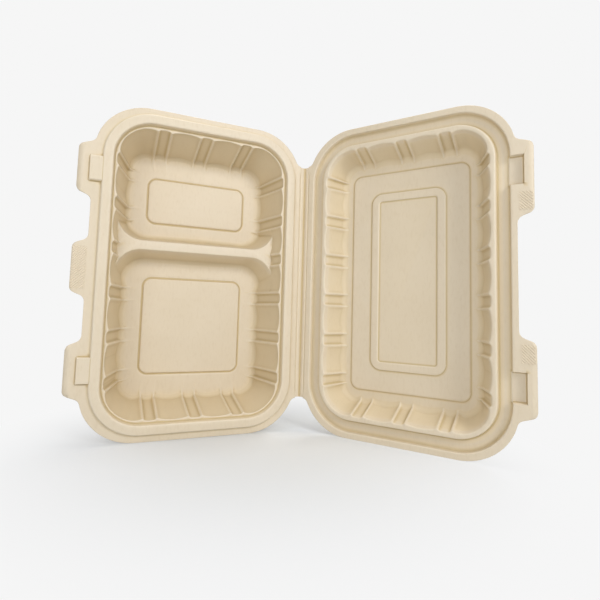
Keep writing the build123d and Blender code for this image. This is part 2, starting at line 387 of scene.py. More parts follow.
def trim_outline(front_lip, tabs, reach, root, tip):
    """Outline of one half outside the bead: lip, front tabs and the edge along the hinge's crease."""
    edge = HALF_WIDTH + front_lip
    back = -HALF_WIDTH - LIP
    top = HALF_LENGTH + LIP
    out = Outline()
    out.add((edge + reach if 0.0 in tabs else edge, 0.0))
    out.mark(FRONT_MIDDLE)
    for place in tabs:
        low, high = place - root / 2, place + root / 2
        outer = (edge + reach, place)
        if place > 0:
            before = (edge, low - TAB_RUN)
            corner = (edge + reach, place - tip / 2)
            out.add(before)
            out.mark(FRONT_MIDDLE + low - TAB_RUN)
            out.add(*round_corner(before, (edge, low), corner, TAB_ROOT_ROUND))
            out.add(*round_corner((edge, low), corner, outer, TAB_ROUND))
            out.add(outer)
            out.mark(FRONT_MIDDLE + place)
        corner = (edge + reach, place + tip / 2)
        foot = (edge, high)
        past = (edge, high + TAB_RUN)
        past_s = FRONT_MIDDLE + high + TAB_RUN
        if high > STRAIGHT_LONG:
            lean = asin((high - (top - LIP_RADIUS)) / LIP_RADIUS)
            foot = (edge - LIP_RADIUS * (1 - cos(lean)), high)
            past = (edge - LIP_RADIUS * (1 - cos(TAB_PAST)), top - LIP_RADIUS * (1 - sin(TAB_PAST)))
            past_s = corner_s(0, TAB_PAST)
        out.add(*round_corner(outer, corner, foot, TAB_ROUND))
        out.add(*round_corner(corner, foot, past, TAB_ROOT_ROUND))
        out.add(past)
        out.mark(past_s)
    out.add(*arc_points((edge - LIP_RADIUS, top - LIP_RADIUS), LIP_RADIUS, TAB_PAST, pi / 2, LIP_STEPS))
    out.mark(corner_s(0, pi / 2))
    arc = arc_points((back + LIP_RADIUS, top - LIP_RADIUS), LIP_RADIUS, pi / 2, pi - NOTCH_TURN, LIP_STEPS)
    out.add(arc[0])
    out.mark(corner_s(1, 0.0))
    out.add(*arc[1:])
    out.mark(corner_s(1, pi / 2 - NOTCH_TURN))
    out.add(*notch_points(arc[-1]))
    out.mark(BACK_MIDDLE - NOTCH_FOOT)
    out.add((CREASE - CENTRE, 0.0))
    out.mark(BACK_MIDDLE)
    return mirrored(out)


def lock_share(x, y, grow):
    """1 over a lock block or its pocket, 0 elsewhere on the lip."""
    across = between(abs(y), LOCK_PLACE - LOCK_HALF - grow, LOCK_PLACE + LOCK_HALF + grow, LOCK_SOFT)
    return across * between(x, 0.0, LOCK_OUT + grow, LOCK_SOFT)


# Groove pressed into the lip where it meets the hinge web
FOLD_DEPTH = 0.5
FOLD_WIDTH = 0.5
FOLD_END = 91.0
FOLD_SOFT = 4.0


def fold_dip(x, y):
    """Depth of the fold's groove at a point of the lip."""
    across = exp(-((x - CREASE + CENTRE) / FOLD_WIDTH)**2)
    return -FOLD_DEPTH * across * between(abs(y), -1.0, FOLD_END, FOLD_SOFT)


def base_lift(x, y):
    """Height over the base's lip: lock blocks and fold."""
    return LOCK_HEIGHT * lock_share(x, y, 0.0) + fold_dip(x, y)


def lid_lift(x, y):
    """Height over the lid's lip: lock pockets and fold."""
    return -POCKET_DEPTH * lock_share(x, y, POCKET_GROW) + fold_dip(x, y)


# Rings of the lip: in the lock zone they run straight, at these distances from the middle, so that
# the block's outer side is cut cleanly, and elsewhere they are spread evenly
LIP_START = 2.6
LIP_LEVELS = [79.3, 80.6, 81.7, 82.1, 82.5, 82.9, 83.5, 85.5]
LIP_REACH = 0.97
LOCK_ZONE = 14.0
LOCK_ZONE_SOFT = 6.0
SQUARE_LEVEL = 84.0
FRONT_BAND = 3.0


def lip_rows(outline, lift):
    """Rings of the lip from its trimmed edge in to the bead, as lists of points."""
    rows = [[] for number in range(len(LIP_LEVELS) + 1)]
    for s in SAMPLES:
        point, normal = rim_place(s)
        inner = (point[0] + LIP_START * normal[0], point[1] + LIP_START * normal[1])
        outer = outline.place(s)
        core = between(abs(point[1]), LOCK_PLACE - LOCK_ZONE, LOCK_PLACE + LOCK_ZONE, LOCK_ZONE_SOFT)
        if point[0] <= HALF_WIDTH - FRONT_BAND:
            core = 0.0
        rows[0].append(Vector((*outer, LIP_TOP + lift(*outer))))
        for number, level in enumerate(LIP_LEVELS, 1):
            share = number / len(rows)
            wanted = min((level - inner[0]) / max(outer[0] - inner[0], TINY), LIP_REACH)
            share += (wanted - share) * core
            x = inner[0] + (outer[0] - inner[0]) * share
            y = inner[1] + (outer[1] - inner[1]) * share
            if level < SQUARE_LEVEL:
                y += (point[1] - y) * core
            rows[-number].append(Vector((x, y, LIP_TOP + lift(x, y))))
    return rows


def ring_row(inset, height, ridge=0.0, lift=None, pick=max):
    """Ring parallel to the rim at one inset and height, joined to a lock where one crosses it."""
    row = [wall_point(s, inset, ridge, height) for s in SAMPLES]
    if lift is not None:
        for point in row:
            point.z = pick(point.z, LIP_TOP + lift(point.x, point.y))
    return row


WALL_STEP = 3.4
WALL_START = 0.9


def wall_rows(start, run, top, floor_z, sizes, low):
    """(inset, height, ridge) down a wall between the rim and a height."""
    first = top - WALL_START
    steps = max(3, round((top - low) / WALL_STEP))
    rows = []
    for step in range(steps + 1):
        z = first + (low - first) * step / steps
        deep = (top - z) / (top - floor_z)
        rows.append((start + run * deep, z, ridge_at(sizes, deep)))
    return rows


def foot_profile(start, run, top, floor_z, radius, steps):
    """(inset, height, share of the fillet) from the wall's straight to the floor's flat."""
    bend = pi / 2 - atan(run / (top - floor_z))
    flat = start + run + radius * tan(bend / 2)
    rows = []
    for step in range(steps + 1):
        angle = bend * (1 - step / steps)
        rows.append((flat - radius * sin(angle), floor_z + radius * (1 - cos(angle)), step / steps))
    return rows


def nearest_on_panel(point, box, radius):
    """Nearest point on a rounded rectangle, seen from outside or inside it."""
    low_x, low_y, high_x, high_y = box
    x = min(max(point.x, low_x + radius), high_x - radius)
    y = min(max(point.y, low_y + radius), high_y - radius)
    away = Vector((point.x - x, point.y - y))
    if away.length < TINY:
        away = Vector((1.0, 0.0))
    away.normalize()
    return x + away.x * radius, y + away.y * radius


def panel_rows(loop, box, radius, floor_z, profile):
    """Rings of a raised panel inside a loop: profile gives (outset from its crown, rise)."""
    rows = []
    for outset, rise in profile:
        grown = (box[0] - outset, box[1] - outset, box[2] + outset, box[3] + outset)
        row = []
        for point in loop:
            x, y = nearest_on_panel(point, grown, radius + outset)
            row.append(Vector((x, y, floor_z + rise)))
        rows.append(row)
    return rows


def skin_rings(bm, rings):
    """Sheet through a run of rings: a circle laid on the first and extruded to each of the rest.

    Returns the edges of the last ring.
    """
    verts = bmesh.ops.create_circle(bm, segments=len(rings[0]), radius=1.0)["verts"]
    edges = [edge for edge in bm.edges if edge.is_wire]
    for number, ring in enumerate(rings):
        if number > 0:
            made = bmesh.ops.extrude_edge_only(bm, edges=edges)["geom"]
            edges = [item for item in made if isinstance(item, bmesh.types.BMEdge)]
            fresh = {item for item in made if isinstance(item, bmesh.types.BMVert)}
            pairs = [(vert, edge.other_vert(vert)) for vert in verts for edge in vert.link_edges]
            verts = [other for vert, other in pairs if other in fresh]
        for vert, point in zip(verts, ring):
            vert.co = point * MM
    return edges


MERGE = 0.02 * MM


def merge_rings(bm):
    """Joins vertices of neighbouring rings that fall on one spot."""
    bmesh.ops.remove_doubles(bm, verts=bm.verts[:], dist=MERGE)


# Painted shade and highlight: how strongly bends, walls and the rim's outer foot count
SHADE_RADIUS = 1.1
SHADE_SPREAD = 0.4
WALL_SHADE = 0.22
RIM_SHADE = {"base": 0.25, "lid": 0.6}
RIM_BAND = (-2.2, 2.6)
LOCK_MARGIN = 1.5
LOCK_CLEAR = 0.01


def paint_shade_and_highlight(bm, rim_shade=None):
    """Stores how hollow (above 0) or proud (below 0) the sheet is at each point: painted shade goes in the
    hollows and painted highlight on the crests, in the fibre's colour.

    In a half, which gives a rim shade, walls count as a little hollow, so that shade is painted on them too,
    and hollows along the rim's outer foot count less.
    """
    marks = bm.verts.layers.float.new("shade_and_highlight")
    bm.normal_update()
    bend = {}
    for vert in bm.verts:
        bends = []
        for edge in vert.link_edges:
            away = edge.other_vert(vert).co - vert.co
            bends.append(2 * away.dot(vert.normal) / away.length_squared)
        bend[vert] = max(-1.0, min(1.0, max(bends, key=abs) * SHADE_RADIUS * MM))
    for vert in bm.verts:
        near = [bend[edge.other_vert(vert)] for edge in vert.link_edges]
        shade = (1 - SHADE_SPREAD) * bend[vert] + SHADE_SPREAD * sum(near) / len(near)
        if rim_shade is not None:
            # Painted shade on steep walls
            shade += WALL_SHADE * (1 - abs(vert.normal.z))
            # Less painted shade in the hollow along the rim's outer foot
            x, y = vert.co.x / MM, vert.co.y / MM
            at_rim = RIM_BAND[0] < outside_rim(x, y) < RIM_BAND[1]
            if shade > 0 and at_rim and lock_share(x, y, LOCK_MARGIN) < LOCK_CLEAR:
                shade *= rim_shade
        vert[marks] = shade


def half_matrix(lid):
    """Turns a half drawn open side up into its place in the standing tray."""
    if lid:
        axes = ((cos(FOLD), 0, -sin(FOLD)), (-sin(FOLD), 0, -cos(FOLD)), (0, 1, 0))
    else:
        axes = ((-1, 0, 0), (0, 0, -1), (0, 1, 0))
    return Matrix.Translation(HINGE_AT) @ Matrix(axes).to_4x4() @ Matrix.Translation((CENTRE * MM, 0, 0))


def linear(value):
    """Linear colour of an sRGB hex value."""
    parts = [int(value[index:index + 2], 16) / 255 for index in (0, 2, 4)]
    parts = [p / 12.92 if p <= 0.04045 else ((p + 0.055) / 1.055)**2.4 for p in parts]
    return (*parts, 1.0)


def node(tree, kind, settings=None, values=None, links=None):
    """Adds a node with its settings, socket values and incoming links."""
    made = tree.nodes.new(kind)
    for name, value in (settings or {}).items():
        setattr(made, name, value)
    for socket, value in (values or {}).items():
        made.inputs[socket].default_value = value
    for socket, source in (links or {}).items():
        tree.links.new(source, made.inputs[socket])
    return made


# Patches of thicker and thinner pulp, and fibres along the mould
# Real fibres are a tenth as wide and would not show, so they are drawn as coarse as this
CLOUD_SIZE = 28.0
CLOUD_SHARE = 0.35
CLOUD_START = -0.05
FIBRE_SIZE = 1.6
FIBRE_STRETCH = 0.35
FIBRE_SHARE = 0.22
FIBRE_RELIEF = 0.05


def pressed_fibre():
    """Bamboo fibre pressed wet in a hot mould: dry and matt, with short darker fibres, faintly cloudy.

    Walls get a warmer painted shade, hollows a browner painted shade and crests a paler painted highlight,
    as the shade and highlight marks say.
    """
    found = bpy.data.materials.get("pressed_fibre")
    if found:
        return found
    colours = bpy.context.scene.tray_colours
    material = bpy.data.materials.new("pressed_fibre")
    material.use_nodes = True
    tree = material.node_tree
    shader = tree.nodes["Principled BSDF"]
    shader.inputs["Roughness"].default_value = 0.45
    shader.inputs["IOR"].default_value = 1.5
    place = node(tree, "ShaderNodeTexCoord").outputs["Object"]
    cloud = node(tree, "ShaderNodeTexNoise", values={"Scale": 1 / (CLOUD_SIZE * MM), "Detail": 3.0},
                 links={"Vector": place})
    stretch = node(tree, "ShaderNodeMapping", values={"Scale": (1.0, 1.0, FIBRE_STRETCH)},
                   links={"Vector": place})
    fibre = node(tree, "ShaderNodeTexNoise", values={"Scale": 1 / (FIBRE_SIZE * MM), "Detail": 4.0},
                 links={"Vector": stretch.outputs["Vector"]})
    fleck = node(tree, "ShaderNodeMapRange", values={"From Min": 0.5, "From Max": 0.75},
                 links={"Value": fibre.outputs["Fac"]})
    tint = node(tree, "ShaderNodeMath", {"operation": "MULTIPLY_ADD"}, {1: CLOUD_SHARE, 2: CLOUD_START},
                {0: cloud.outputs["Fac"]})
    share = node(tree, "ShaderNodeMath", {"operation": "MULTIPLY_ADD", "use_clamp": True}, {1: FIBRE_SHARE},
                 {0: fleck.outputs["Result"], 2: tint.outputs["Value"]})
    colour = node(tree, "ShaderNodeMix", {"data_type": "RGBA"},
                  {"A": linear(colours.fibre), "B": linear(colours.fibre_dark)},
                  {"Factor": share.outputs["Value"]})
    shade_and_highlight = node(tree, "ShaderNodeAttribute", {"attribute_name": "shade_and_highlight"}).outputs["Fac"]
    # Painted shade and highlight laid over the fibre: the marks between which each comes in, and its most
    layers = [
        (colours.painted_wall_shade, 0.04, 0.17, 0.3),
        (colours.painted_crease_shade, 0.12, 0.7, 0.6),
        (colours.painted_crest_highlight, -0.15, -0.8, 0.15),
    ]
    for shade, low, high, most in layers:
        cover = node(tree, "ShaderNodeMapRange", values={"From Min": low, "From Max": high, "To Max": most},
                     links={"Value": shade_and_highlight})
        colour = node(tree, "ShaderNodeMix", {"data_type": "RGBA"}, {"B": linear(shade)},
                      {"Factor": cover.outputs["Result"], "A": colour.outputs["Result"]})
    tree.links.new(colour.outputs["Result"], shader.inputs["Base Color"])
    bump = node(tree, "ShaderNodeBump", values={"Strength": 0.25, "Distance": FIBRE_RELIEF * MM},
                links={"Height": fibre.outputs["Fac"]})
    tree.links.new(bump.outputs["Normal"], shader.inputs["Normal"])
    return material


SHARP = radians(50)


def make_piece(bm, name, smooth=True):
    """Object of a finished mesh, in pressed fibre."""
    mesh = bpy.data.meshes.new(name)
    bm.to_mesh(mesh)
    bm.free()
    if smooth:
        for polygon in mesh.polygons:
            polygon.use_smooth = True
        mesh.set_sharp_from_angle(angle=SHARP)
    mesh.materials.append(pressed_fibre())
    piece = bpy.data.objects.new(name, mesh)
    bpy.context.scene.collection.objects.link(piece)
    return piece


def finish_half(bm, name, body, cad_node, sizes):
    """Painted shade and highlight marks, placing and thickness, shared by both halves."""
    lid = body == "lid"
    bmesh.ops.recalc_face_normals(bm, faces=bm.faces[:])
    if sum(face.normal.z * face.calc_area() for face in bm.faces) < 0:
        bmesh.ops.reverse_faces(bm, faces=bm.faces[:])
    paint_shade_and_highlight(bm, RIM_SHADE[body])
    bmesh.ops.transform(bm, matrix=half_matrix(lid), verts=bm.verts[:])
    if not lid:
        bmesh.ops.reverse_faces(bm, faces=bm.faces[:])
    piece = make_piece(bm, name)
    wall = piece.modifiers.new("Sheet", "SOLIDIFY")
    wall.thickness = sizes.sheet * MM
    wall.offset = -1.0
    wall.use_even_offset = True
    wall.use_quality_normals = True
    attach(piece, body)
    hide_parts(cad_node)


# Base: bead as (inset, rise), the wall's upper edge as (inset, rise, share of the ridge), then the wall
BASE_BEAD = [
    (-2.1, 0.0), (-1.45, 0.03), (-0.9, 0.16), (-0.42, 0.45), (-0.08, 0.95), (0.25, 1.9), (0.46, 2.75),
    (0.72, 3.22), (1.15, 3.5), (1.7, 3.6), (3.9, 3.6), (6.2, 3.6), (6.75, 3.5), (7.15, 3.22), (7.38, 2.75),
    (7.5, 2.1), (7.9, 0.4), (8.06, -0.25), (8.3, -0.55), (8.7, -0.65),
]
BASE_BROW = [(-0.35, 0.0, 0.87), (-0.02, -0.1, 0.96), (0.17, -0.4, 1.0)]
BASE_LEDGE = LIP_TOP - 0.65
BASE_WALL = 9.3
BASE_RUN = 8.2
BASE_FADE = 0.8
BASE_FOOT = 4.0
BASE_FOOT_STEPS = 9

# Toes of the ribs, which run out over the base's floor
TOE_HEIGHT = 0.5
TOE_WIDTH = 1.0
TOE_REACH = 5.5

# Divider: its top, its place along the hinge, its rounded edge and the flare at its ends
DIVIDER_TOP = LIP_TOP - 15.0
DIVIDER_PLACE = 21.1
DIVIDER_HALF = 3.45
DIVIDER_ROUND = 0.9
DIVIDER_ROUND_STEPS = 4
DIVIDER_SIDE_STEPS = 4
DIVIDER_STEPS = 24
FLARE_RADIUS = 19.0
FLARE_PAST = 0.5
FLARE_STEPS = 12
UPPER_FIX = DIVIDER_PLACE + 22.5
LOWER_FIX = -11.2
TIP_REACH = 34.0
TIP_STEPS = 199

# Raised floor panels: the edge as (outset from the crown, rise)
BASE_STEP = [
    (3.8, 0.0), (2.8, 0.0), (2.3, -0.08), (1.8, -0.32), (1.2, -0.42), (0.7, -0.22), (0.3, 0.33), (0.0, 0.8),
    (-0.35, 0.96), (-0.9, 1.0), (-1.8, 1.0),
]
PANEL_RADIUS = 6.0
PANEL_END = HALF_LENGTH - 38.8
PANEL_SIDE = HALF_WIDTH - 35.2
UPPER_PANEL_LOW = DIVIDER_PLACE + 22.2
LOWER_PANEL_HIGH = DIVIDER_PLACE - 24.7


class Compartment:
    """One compartment below the divider's top: rings that follow the wall and the divider."""

    def __init__(self, sign, sizes):
        self.sign = sign
        self.sizes = sizes
        self.floor = LIP_TOP - sizes.base_depth
        self.slope = BASE_RUN / (BASE_LEDGE - self.floor)
        self.tips = None
        if sign > 0:
            self.fix = (FRONT_MIDDLE + UPPER_FIX, BACK_MIDDLE - UPPER_FIX)
            self.panel = (-PANEL_SIDE, UPPER_PANEL_LOW, PANEL_SIDE, PANEL_END)
        else:
            self.fix = (BACK_MIDDLE - LOWER_FIX, FRONT_MIDDLE + LOWER_FIX + PERIMETER)
            self.panel = (-PANEL_SIDE, -PANEL_END, PANEL_SIDE, LOWER_PANEL_HIGH)

    def profile(self):
        """(inset, height, ridge, divider offset, toe) of each ring from the divider's top to the floor."""
        bend = pi / 2 - atan(self.slope)
        tangent = DIVIDER_ROUND * tan(bend / 2)
        run = self.slope * (DIVIDER_TOP - self.floor)
        foot = foot_profile(0.0, run, DIVIDER_TOP, self.floor, BASE_FOOT, BASE_FOOT_STEPS)
        wall_foot = foot_profile(BASE_WALL, BASE_RUN, BASE_LEDGE, self.floor, BASE_FOOT, BASE_FOOT_STEPS)
        straight = []
        for step in range(DIVIDER_ROUND_STEPS + 1):
            angle = bend * step / DIVIDER_ROUND_STEPS
            z = DIVIDER_TOP - DIVIDER_ROUND * (1 - cos(angle))
            straight.append((z, DIVIDER_ROUND * sin(angle) - tangent))
        first, last = straight[-1][0], foot[0][1]
        for step in range(1, DIVIDER_SIDE_STEPS):
            z = first + (last - first) * step / DIVIDER_SIDE_STEPS
            straight.append((z, self.slope * (DIVIDER_TOP - z)))
        rows = [(BASE_WALL + self.slope * (BASE_LEDGE - z), z, offset, 0.0) for z, offset in straight]
        rows += [(wall[0], z, offset, share) for (offset, z, share), wall in zip(foot, wall_foot)]
        made = []
        for inset, z, offset, share in rows:
            ridge = ridge_at(self.sizes, (BASE_LEDGE - z) / (BASE_LEDGE - self.floor))
            made.append((inset, z, ridge * (1 - share * (1 - BASE_FADE)), offset, TOE_HEIGHT * share**2))
        made.append((inset + TOE_REACH, z, 0.0, offset + TOE_REACH, 0.0))
        return made

    def tip(self, which, inset, ridge, near):
        """Place round the rim where a flare of the divider runs into the wall, and the flare's centre."""
        side = self.sign if which == 0 else -self.sign
        x = side * (HALF_WIDTH - inset + FLARE_PAST - FLARE_RADIUS)
        centre = Vector((x, near + self.sign * FLARE_RADIUS))
        reach = -TIP_REACH if which == 0 else TIP_REACH
        for step in range(TIP_STEPS + 1):
            s = self.fix[which] + reach * step / TIP_STEPS
            point = wall_point(s, inset, ridge, 0.0)
            toward = (point.y - centre.y) * self.sign
            if toward < 0 and hypot(point.x - centre.x, point.y - centre.y) >= FLARE_RADIUS:
                return s, centre
        return self.fix[which], centre

    def flare(self, end, centre, z):
        """Curve from the wall at one end of the divider to the divider's straight side."""
        start = atan2(end.y - centre.y, end.x - centre.x)
        turn = (-self.sign * pi / 2 - start + pi) % (2 * pi) - pi
        radius = hypot(end.x - centre.x, end.y - centre.y)
        points = []
        for step in range(1, FLARE_STEPS + 1):
            share = step / FLARE_STEPS
            angle = start + turn * share
            reach = radius + (FLARE_RADIUS - radius) * share
            points.append(Vector((centre.x + reach * cos(angle), centre.y + reach * sin(angle), z)))
        return points

    def ring(self, inset, z, ridge, offset, toe):
        """Points of one ring: wall from tip to tip, then back along the divider.

        Every ring has the first one's vertices, which close up towards the tips where these move.
        """
        near = DIVIDER_PLACE + self.sign * (DIVIDER_HALF + offset)
        first, first_centre = self.tip(0, inset, ridge, near)
        last, last_centre = self.tip(1, inset, ridge, near)
        if self.tips is None:
            self.tips = [min(ALL_TURNS, key=lambda s: abs(s - tip)) for tip in (first, last)]
            first, last = self.tips
        points = []
        for s in ALL_TURNS:
            if s < self.tips[0] - TINY or s > self.tips[1] + TINY:
                continue
            if s < self.fix[0]:
                share = (self.fix[0] - s) / max(self.fix[0] - self.tips[0], TINY)
                s = self.fix[0] - share * (self.fix[0] - first)
            elif s > self.fix[1]:
                share = (s - self.fix[1]) / max(self.tips[1] - self.fix[1], TINY)
                s = self.fix[1] + share * (last - self.fix[1])
            rise = toe * exp(-(nearest_ridge(s)[0] / TOE_WIDTH)**2)
            points.append(wall_point(s, inset, ridge, z + rise))
        left = self.flare(points[-1], last_centre, z)
        right = self.flare(points[0], first_centre, z)
        straight = [left[-1].lerp(right[-1], step / DIVIDER_STEPS) for step in range(1, DIVIDER_STEPS)]
        return points + left + straight + right[::-1]


def base_rows(sizes):
    """Rings of the base from the trimmed lip, over the bead and down the wall to the divider's top."""
    rows = lip_rows(trim_outline(**BASE_TRIM), base_lift)
    for inset, rise in BASE_BEAD:
        rows.append(ring_row(inset, LIP_TOP + rise, 0.0, base_lift if inset < LOCK_OVER else None))
    for inset, rise, share in BASE_BROW:
        rows.append(ring_row(BASE_WALL + inset, BASE_LEDGE + rise, share * sizes.ridge_top))
    floor_z = LIP_TOP - sizes.base_depth
    for inset, z, ridge in wall_rows(BASE_WALL, BASE_RUN, BASE_LEDGE, floor_z, sizes, DIVIDER_TOP):
        rows.append(ring_row(inset, z, ridge))
    return rows


def close_divider(bm):
    """Lays the divider's flat top into the one opening left below the lip."""
    below = DIVIDER_TOP * MM / 2
    opening = [edge for edge in bm.edges if edge.is_boundary and edge.verts[0].co.z < below]
    # The fill starts at the first edge: the corner at the hinge, so that the face is always split alike
    opening.sort(key=lambda edge: sum(vert.co.x - vert.co.y for vert in edge.verts))
    faces = bmesh.ops.edgeloop_fill(bm, edges=opening)["faces"]
    if len(faces) != 1:
        raise RuntimeError("the divider's top is not one closed loop")


class TRAY_OT_base(bpy.types.Operator):
    """Press the base: lip, tabs, bead, fluted walls, divider and floor panels"""
    bl_idname = "tray.base"
    bl_label = "Base"

    def execute(self, context):
        sizes = drawn_sizes(context.scene)
        bm = bmesh.new()
        skin_rings(bm, base_rows(sizes))
        for sign in (1, -1):
            room = Compartment(sign, sizes)
            rings = [room.ring(*station) for station in room.profile()]
            rings += panel_rows(rings[-1], room.panel, PANEL_RADIUS, room.floor, BASE_STEP)
            bmesh.ops.edgeloop_fill(bm, edges=skin_rings(bm, rings))
        merge_rings(bm)
        close_divider(bm)
        finish_half(bm, "base_sheet", "base", "base_tray", sizes)
        return {"FINISHED"}


# Lid: channel over the bead, the wall's upper edge, wall and floor, then the panel and the ring rib on it
LID_CHANNEL = [
    (-1.9, 0.0), (-1.2, -0.02), (-0.8, -0.12), (-0.5, -0.45), (-0.38, -0.9), (-0.16, -2.4), (0.06, -3.15),
    (0.45, -3.7), (1.0, -4.03), (1.8, -4.17), (4.0, -4.17), (6.6, -4.17), (7.3, -4.1), (7.75, -3.75),
    (7.97, -3.1), (8.25, -1.6), (8.4, -0.75), (8.62, -0.25), (9.05, 0.0), (9.7, 0.03),
]
LID_BROW = [(-0.9, 0.0, 0.83), (-0.35, -0.08, 0.96), (0.05, -0.35, 1.0)]
LID_WALL = 11.5
LID_RUN = 8.0
LID_FADE = 0.6
LID_FOOT = 5.5
LID_FOOT_STEPS = 10
LID_FOOT_ROOM = 1.5
LID_PANEL_SIDE = HALF_WIDTH - 29.0
LID_PANEL_END = HALF_LENGTH - 30.6
LID_STEP = [
    (2.6, 0.0), (1.5, 0.0), (1.05, 0.06), (0.65, 0.34), (0.25, 0.72), (-0.15, 0.94), (-0.7, 1.0),
    (-1.8, 1.0),
]
RING_INSET = 16.7
RING_RADIUS = 8.0
LID_RING = [
    (2.4, 1.0), (1.2, 1.0), (0.85, 1.06), (0.55, 1.28), (0.28, 1.58), (-0.05, 1.76), (-0.6, 1.8),
    (-4.6, 1.8), (-5.15, 1.76), (-5.48, 1.58), (-5.75, 1.28), (-6.05, 1.06), (-6.4, 1.0), (-7.4, 1.0),
]


def lid_rows(sizes):
    """Rings of the lid from the trimmed lip, through the channel and down the wall to the panel's middle."""
    rows = lip_rows(trim_outline(**LID_TRIM), lid_lift)
    for inset, rise in LID_CHANNEL:
        rows.append(ring_row(inset, LIP_TOP + rise, 0.0, lid_lift if inset < LOCK_OVER else None, min))
    for inset, rise, share in LID_BROW:
        rows.append(ring_row(LID_WALL + inset, LIP_TOP + rise, share * sizes.ridge_top))
    floor_z = LIP_TOP - sizes.lid_depth
    foot = foot_profile(LID_WALL, LID_RUN, LIP_TOP, floor_z, LID_FOOT, LID_FOOT_STEPS)
    for inset, z, ridge in wall_rows(LID_WALL, LID_RUN, LIP_TOP, floor_z, sizes, foot[0][1] + LID_FOOT_ROOM):
        rows.append(ring_row(inset, z, ridge))
    for inset, z, share in foot:
        ridge = ridge_at(sizes, (LIP_TOP - z) / sizes.lid_depth)
        rows.append(ring_row(inset, z, ridge * (1 - share * (1 - LID_FADE))))
    for inset, radius, profile in ((0.0, PANEL_RADIUS, LID_STEP), (RING_INSET, RING_RADIUS, LID_RING)):
        side, end = LID_PANEL_SIDE - inset, LID_PANEL_END - inset
        rows += panel_rows(rows[-1], (-side, -end, side, end), radius, floor_z, profile)
    return rows


class TRAY_OT_lid(bpy.types.Operator):
    """Press the lid: lip, tabs, channel, inner rim, fluted walls, panel and ring rib"""
    bl_idname = "tray.lid"
    bl_label = "Lid"

    def execute(self, context):
        sizes = drawn_sizes(context.scene)
        bm = bmesh.new()
        bmesh.ops.edgeloop_fill(bm, edges=skin_rings(bm, lid_rows(sizes)))
        merge_rings(bm)
        finish_half(bm, "lid_sheet", "lid", "lid", sizes)
        return {"FINISHED"}


# Hinge web: half its section from the lip in to the middle fold, as (distance from the fold, rise)
WEB_FOLDS = [
    (3.62, -0.5), (3.35, -0.38), (3.0, -0.1), (2.6, 0.06), (2.1, 0.12), (1.6, 0.1), (1.1, -0.02),
    (0.7, -0.24), (0.35, -0.44), (0.0, -0.5),
]
WEB_END = 96.5
WEB_FLARE = 2.85
WEB_STEPS = 96


class TRAY_OT_hinge(bpy.types.Operator):
    """Make the hinge web with its pressed folds, bending between base and lid"""
    bl_idname = "tray.hinge"
    bl_label = "Hinge web"

    def execute(self, context):
        sizes = drawn_sizes(context.scene)
        bm = bmesh.new()
        section = [(-u, rise) for u, rise in WEB_FOLDS] + WEB_FOLDS[-2::-1]
        rows = len(section) - 1
        verts = bmesh.ops.create_grid(bm, x_segments=WEB_STEPS, y_segments=rows, size=1.0)["verts"]
        for number, (u, rise) in enumerate(section):
            angle = FOLD * ease((u + CREASE) / (2 * CREASE))
            z = LIP_TOP + rise
            x = u * cos(angle) - z * sin(angle)
            y = -(u * sin(angle) + z * cos(angle))
            end = WEB_END + max(abs(u) - WEB_FLARE, 0.0)**2 / (2 * NOTCH)
            for step in range(WEB_STEPS + 1):
                along = -end + 2 * end * step / WEB_STEPS
                verts[number * (WEB_STEPS + 1) + step].co = HINGE_AT + Vector((x, y, along)) * MM
        bmesh.ops.recalc_face_normals(bm, faces=bm.faces[:])
        if sum(face.normal.y for face in bm.faces) > 0:
            bmesh.ops.reverse_faces(bm, faces=bm.faces[:])
        # Painted shade in the web's fold hollows, painted highlight on its crests
        paint_shade_and_highlight(bm)
        bmesh.ops.solidify(bm, geom=bm.faces[:], thickness=sizes.sheet * MM)
        piece = make_piece(bm, "hinge_web")
        reach = CREASE * MM
        end = HINGE_AT + Vector((reach * cos(FOLD), -reach * sin(FOLD), 0))
        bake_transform(piece)
        return {"FINISHED"}


# Knurl: bars half sunk in the tabs, and the patches they cover as (low x, low y, high x, high y)
KNURL_HEIGHT = 0.56
KNURL_WIDTH = 1.15
KNURL_CREST = 0.2
KNURL_TURN = radians(135)
KNURL_PATCHES = {
    "base": [(80.8, -14.8, 89.7, 14.8)],
    "lid": [(80.4, 43.6, 88.2, 55.6), (80.4, -55.6, 88.2, -43.6)],
}


def knurl_patch(bm, box, pitch):
    """Diagonal bars over one patch of a tab, cut off square at the patch's edges."""
    low_x, low_y, high_x, high_y = box
    step = pitch * sqrt(2)
    reach = high_x - low_x
    turn = Matrix.Rotation(KNURL_TURN, 4, "Z")
    scale = Matrix.Diagonal((2 * reach, KNURL_WIDTH, KNURL_HEIGHT, 1.0))
    for index in range(int((high_y - low_y + reach) / step) + 1):
        y = low_y - reach / 2 + step * (index + 0.5)
        place = Matrix.Translation(((low_x + high_x) / 2, y, LIP_TOP))
        bar = bmesh.ops.create_cube(bm, size=1.0)["verts"]
        for vert in bar:
            vert.co.y *= KNURL_CREST if vert.co.z > 0 else 1.0
        bmesh.ops.transform(bm, matrix=place @ turn @ scale, verts=bar)
    cuts = [
        ((low_x, 0, 0), (-1, 0, 0)),
        ((high_x, 0, 0), (1, 0, 0)),
        ((0, low_y, 0), (0, -1, 0)),
        ((0, high_y, 0), (0, 1, 0)),
    ]
    for point, outward in cuts:
        geom = bm.verts[:] + bm.edges[:] + bm.faces[:]
        bmesh.ops.bisect_plane(bm, geom=geom, dist=1e-5, plane_co=point, plane_no=outward, clear_outer=True)
        bmesh.ops.holes_fill(bm, edges=[edge for edge in bm.edges if edge.is_boundary], sides=8)


